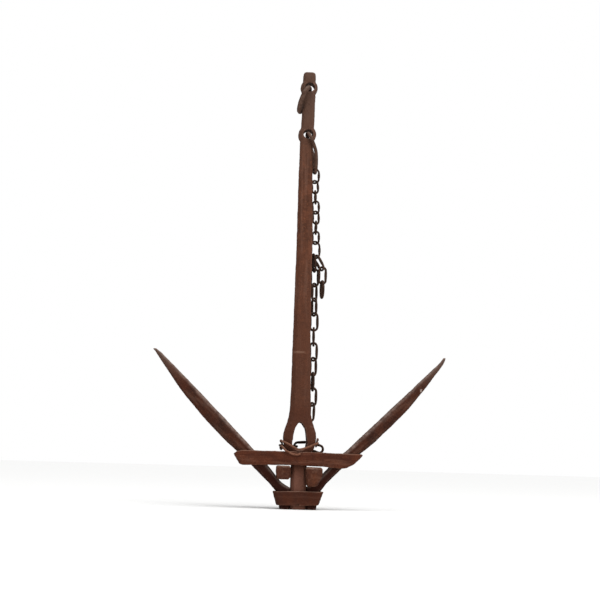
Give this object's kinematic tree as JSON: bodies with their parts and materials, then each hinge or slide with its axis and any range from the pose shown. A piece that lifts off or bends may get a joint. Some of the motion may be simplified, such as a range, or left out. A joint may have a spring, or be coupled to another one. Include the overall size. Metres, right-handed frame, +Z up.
{
  "type": "anchor",
  "caption": "Old iron anchor: straight arms and shank held by two hoops and keys, with a swinging ring, a long link and a chain lashed through the eye at the crown.",
  "frame": {"origin": "centre of the flat underside of the foot, on the shank's axis", "axes": "+X across to the right arm, -Y the front, +Z up the shank"},
  "size_m": [1.133, 0.1439, 1.721],
  "materials": {
    "shank_iron": "forged iron, rusted brown with a greyer top",
    "arm_iron": "forged iron, dark rust",
    "hoop_iron": "hammered flat bar, lengthwise grain, dark rust",
    "key_iron": "forged iron, rust with pale worn rims",
    "ring_iron": "round bar, worn brown rust",
    "chain_iron": "small round bar, dark grey-brown rust",
    "wire_iron": "stiff wire, light brown rust"
  },
  "bodies": {
    "anchor": {"shank": "shank_iron", "arm_left": "arm_iron", "arm_right": "arm_iron", "upper_hoop": "hoop_iron", "lower_hoop": "hoop_iron", "key_left": "key_iron", "key_right": "key_iron", "lashed_link_top": "chain_iron", "lashed_link_right": "chain_iron", "lashed_link_middle": "chain_iron", "lashed_link_left": "chain_iron", "lashing_wire": "wire_iron"},
    "ring": {"ring": "ring_iron"},
    "long_link": {"long_link": "ring_iron"},
    "light_link_01": {"light_link_01": "chain_iron"},
    "light_link_02": {"light_link_02": "chain_iron"},
    "light_link_03": {"light_link_03": "chain_iron"},
    "light_link_04": {"light_link_04": "chain_iron"},
    "light_link_05": {"light_link_05": "chain_iron"},
    "light_link_06": {"light_link_06": "chain_iron"},
    "light_link_07": {"light_link_07": "chain_iron"},
    "light_link_08": {"light_link_08": "chain_iron"},
    "heavy_link_01": {"heavy_link_01": "chain_iron"},
    "heavy_link_02": {"heavy_link_02": "chain_iron"},
    "heavy_link_03": {"heavy_link_03": "chain_iron"},
    "heavy_link_04": {"heavy_link_04": "chain_iron"},
    "heavy_link_05": {"heavy_link_05": "chain_iron"},
    "heavy_link_06": {"heavy_link_06": "chain_iron"},
    "heavy_link_07": {"heavy_link_07": "chain_iron"},
    "heavy_link_08": {"heavy_link_08": "chain_iron"},
    "heavy_link_09": {"heavy_link_09": "chain_iron"},
    "heavy_link_10": {"heavy_link_10": "chain_iron"},
    "heavy_link_11": {"heavy_link_11": "chain_iron"},
    "tail_link_1": {"tail_link_1": "chain_iron"},
    "tail_link_2": {"tail_link_2": "chain_iron"},
    "tail_link_3": {"tail_link_3": "chain_iron"}
  },
  "joints": [
    {"name": "ring_swing", "type": "hinge", "parent": "anchor", "child": "ring", "pos_m": [0.002, 0, 1.658], "axis": [0, 1, 0], "range_deg": [0, 314]},
    {"name": "long_link_swing", "type": "hinge", "parent": "anchor", "child": "long_link", "pos_m": [0, 0, 1.463], "axis": [0, -1, 0], "range_deg": [0, 6]},
    {"name": "light_link_01_swing", "type": "hinge", "parent": "long_link", "child": "light_link_01", "pos_m": [0.0336, 0.01585, 1.3151], "axis": [0.0896, -0.9923, -0.086], "range_deg": [0, 3]},
    {"name": "light_link_02_swing", "type": "hinge", "parent": "light_link_01", "child": "light_link_02", "pos_m": [0.03445, 0.02729, 1.27521], "axis": [0.8578, -0.4986, -0.1249], "range_deg": [0, 3]},
    {"name": "light_link_03_swing", "type": "hinge", "parent": "light_link_02", "child": "light_link_03", "pos_m": [0.03836, 0.03518, 1.23521], "axis": [0.8775, 0.447, 0.1739], "range_deg": [0, 3]},
    {"name": "light_link_04_swing", "type": "hinge", "parent": "light_link_03", "child": "light_link_04", "pos_m": [0.04086, 0.03816, 1.19444], "axis": [-0.0204, -0.997, -0.074], "range_deg": [0, 3]},
    {"name": "light_link_05_swing", "type": "hinge", "parent": "light_link_04", "child": "light_link_05", "pos_m": [0.04273, 0.03957, 1.15355], "axis": [0.8551, -0.518, 0.0211], "range_deg": [0, 3]},
    {"name": "light_link_06_swing", "type": "hinge", "parent": "light_link_05", "child": "light_link_06", "pos_m": [0.04446, 0.04066, 1.11265], "axis": [0.8724, 0.4863, 0.0501], "range_deg": [0, 3]},
    {"name": "light_link_07_swing", "type": "hinge", "parent": "light_link_06", "child": "light_link_07", "pos_m": [0.0449, 0.04093, 1.0717], "axis": [-0.0099, -0.9999, -0.0067], "range_deg": [0, 3]},
    {"name": "light_link_08_swing", "type": "hinge", "parent": "light_link_07", "child": "light_link_08", "pos_m": [0.04498, 0.04099, 1.03074], "axis": [0.8635, -0.5043, 0.0011], "range_deg": [0, 3]},
    {"name": "heavy_link_01_swing", "type": "hinge", "parent": "light_link_08", "child": "heavy_link_01", "pos_m": [0.03859, 0.0373, 0.9752], "axis": [0.866, 0.5, 0.0004], "range_deg": [0, 3]},
    {"name": "heavy_link_02_swing", "type": "hinge", "parent": "heavy_link_01", "child": "heavy_link_02", "pos_m": [0.04394, 0.0405, 0.91947], "axis": [0.2618, -0.9646, -0.0303], "range_deg": [0, 3]},
    {"name": "heavy_link_03_swing", "type": "hinge", "parent": "heavy_link_02", "child": "heavy_link_03", "pos_m": [0.04542, 0.04165, 0.86108], "axis": [0.9845, -0.1741, 0.0216], "range_deg": [0, 3]},
    {"name": "heavy_link_04_swing", "type": "hinge", "parent": "heavy_link_03", "child": "heavy_link_04", "pos_m": [0.04608, 0.04237, 0.80294], "axis": [0.6427, 0.7659, 0.0166], "range_deg": [0, 3]},
    {"name": "heavy_link_05_swing", "type": "hinge", "parent": "heavy_link_04", "child": "heavy_link_05", "pos_m": [0.04661, 0.04302, 0.74425], "axis": [0.5001, -0.866, -0.005], "range_deg": [0, 3]},
    {"name": "heavy_link_06_swing", "type": "hinge", "parent": "heavy_link_05", "child": "heavy_link_06", "pos_m": [0.04713, 0.04366, 0.68612], "axis": [1, -0.0001, 0.0089], "range_deg": [0, 3]},
    {"name": "heavy_link_07_swing", "type": "hinge", "parent": "heavy_link_06", "child": "heavy_link_07", "pos_m": [0.04766, 0.04433, 0.6269], "axis": [-0.0871, -0.9961, -0.0121], "range_deg": [0, 3]},
    {"name": "heavy_link_08_swing", "type": "hinge", "parent": "heavy_link_07", "child": "heavy_link_08", "pos_m": [0.0482, 0.045, 0.5682], "axis": [0.9063, -0.4227, 0.0034], "range_deg": [0, 3]},
    {"name": "heavy_link_09_swing", "type": "hinge", "parent": "heavy_link_08", "child": "heavy_link_09", "pos_m": [0.04873, 0.04566, 0.51007], "axis": [0.8191, 0.5735, 0.014], "range_deg": [0, 3]},
    {"name": "heavy_link_10_swing", "type": "hinge", "parent": "heavy_link_09", "child": "heavy_link_10", "pos_m": [0.04896, 0.04693, 0.45194], "axis": [0.0873, -0.996, -0.0214], "range_deg": [0, 3]},
    {"name": "heavy_link_11_swing", "type": "hinge", "parent": "heavy_link_10", "child": "heavy_link_11", "pos_m": [0.04899, 0.04862, 0.39309], "axis": [0.9848, -0.1735, -0.0044], "range_deg": [0, 3]},
    {"name": "tail_link_1_swing", "type": "hinge", "parent": "light_link_08", "child": "tail_link_1", "pos_m": [0.0514, 0.0447, 0.97521], "axis": [-0.866, -0.5, -0.0004], "range_deg": [0, 40]},
    {"name": "tail_link_2_swing", "type": "hinge", "parent": "tail_link_1", "child": "tail_link_2", "pos_m": [0.07477, 0.03144, 0.92568], "axis": [0.3427, -0.8326, 0.435], "range_deg": [0, 40]},
    {"name": "tail_link_3_swing", "type": "hinge", "parent": "tail_link_2", "child": "tail_link_3", "pos_m": [0.07477, 0.03144, 0.87096], "axis": [0.9613, 0.2756, 0], "range_deg": [-35, 35]}
  ]
}
